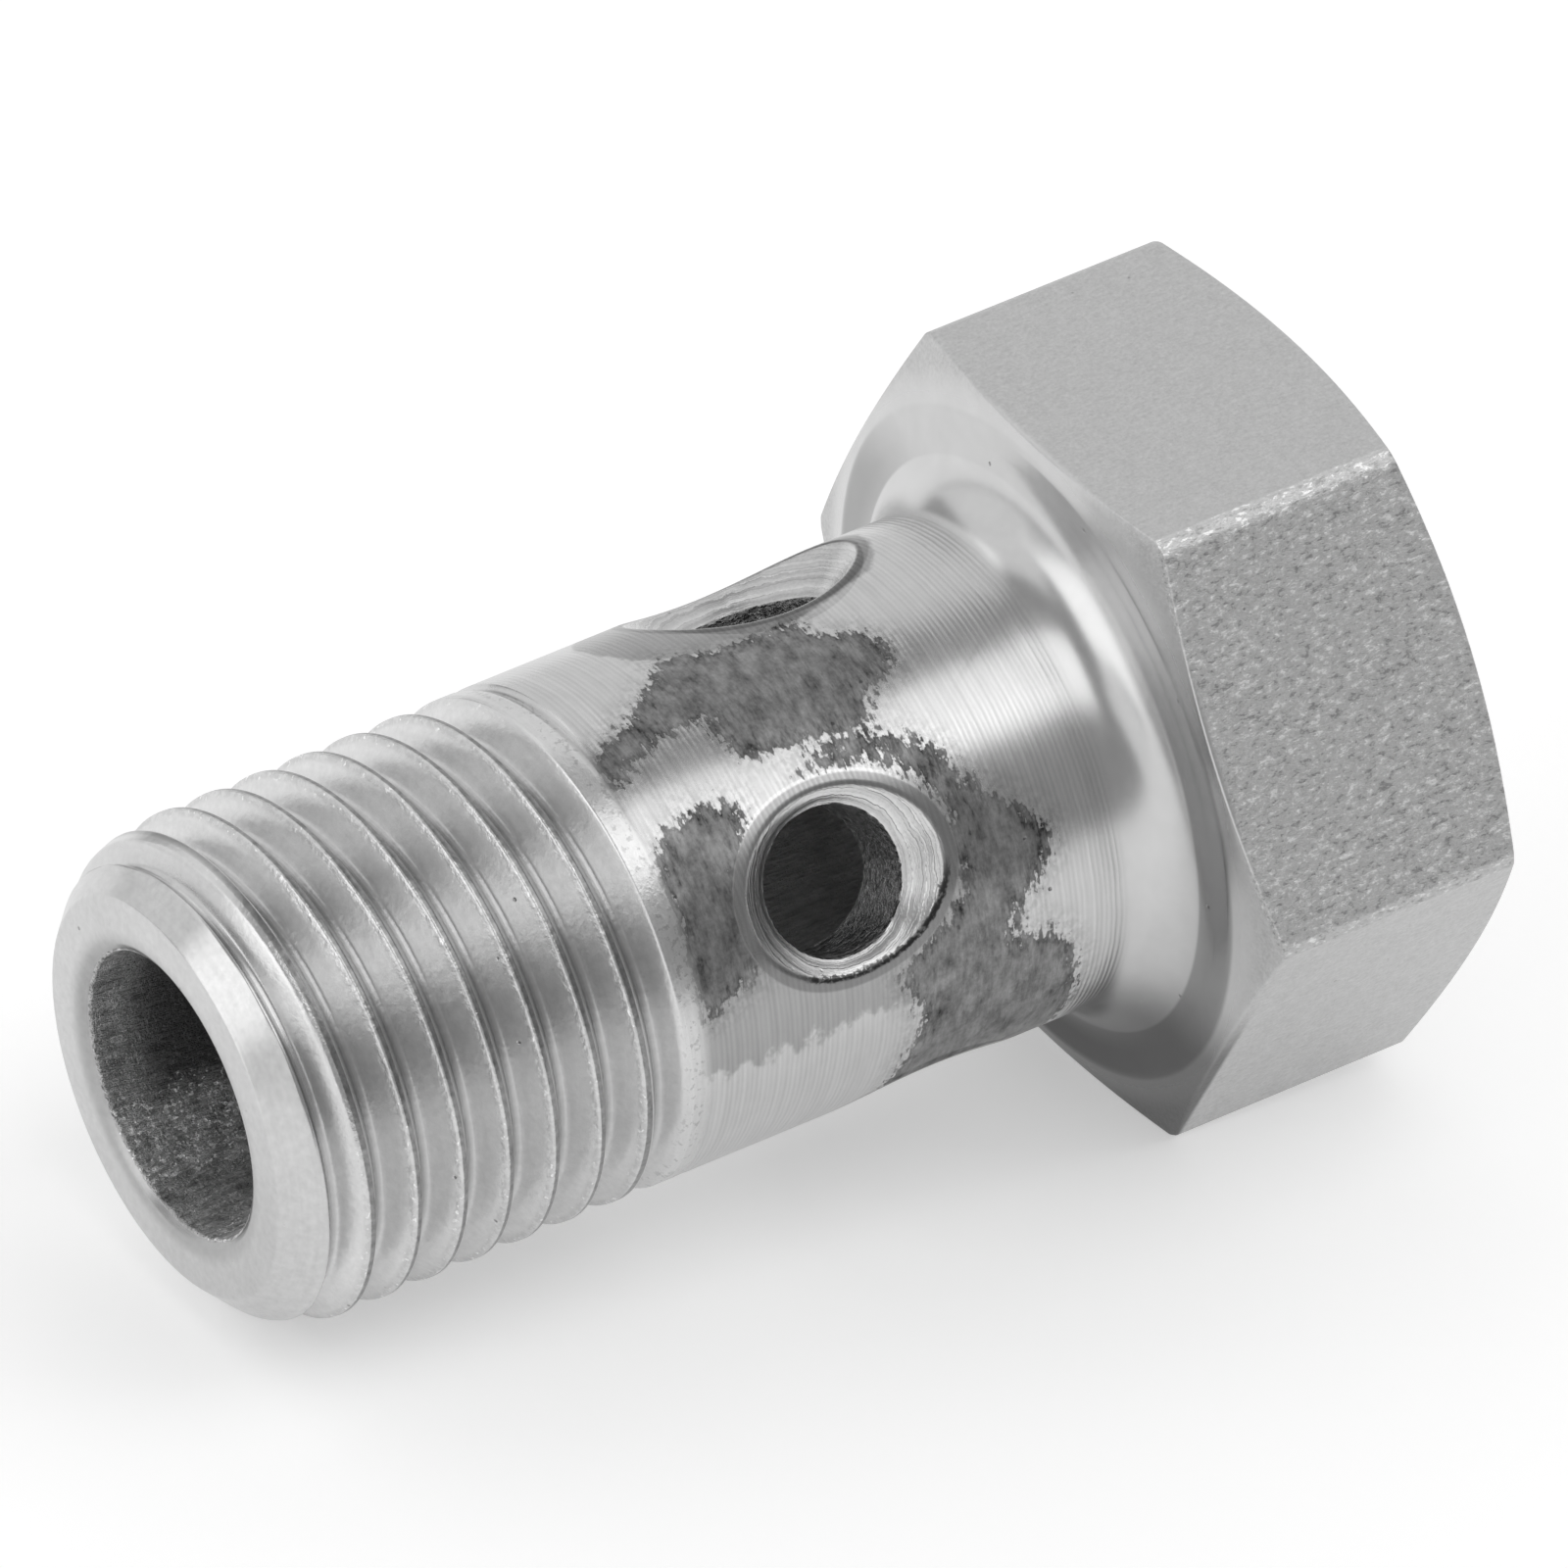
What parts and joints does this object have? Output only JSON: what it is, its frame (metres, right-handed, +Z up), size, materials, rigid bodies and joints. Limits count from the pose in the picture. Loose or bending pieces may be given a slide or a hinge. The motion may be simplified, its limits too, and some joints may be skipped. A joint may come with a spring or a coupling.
{
  "type": "banjo bolt",
  "caption": "Hollow hexagon-head bolt with a blind bore, staggered countersunk cross holes and a fine metric thread; clamps a ring fitting and carries fluid into it.",
  "frame": {"origin": "centre of the seat, the flat ring under the head", "axes": "+X from the thread end towards the head, +Z up; the bolt lies on one flat and on the end of its thread, so its own axis rises 6.45 degrees from +X"},
  "size_m": [0.0262, 0.016, 0.0145],
  "materials": {
    "steel": "bare turned steel, dull, with stained patches round the cross holes"
  },
  "bodies": {
    "root": {"banjo_bolt": "steel"}
  },
  "joints": []
}
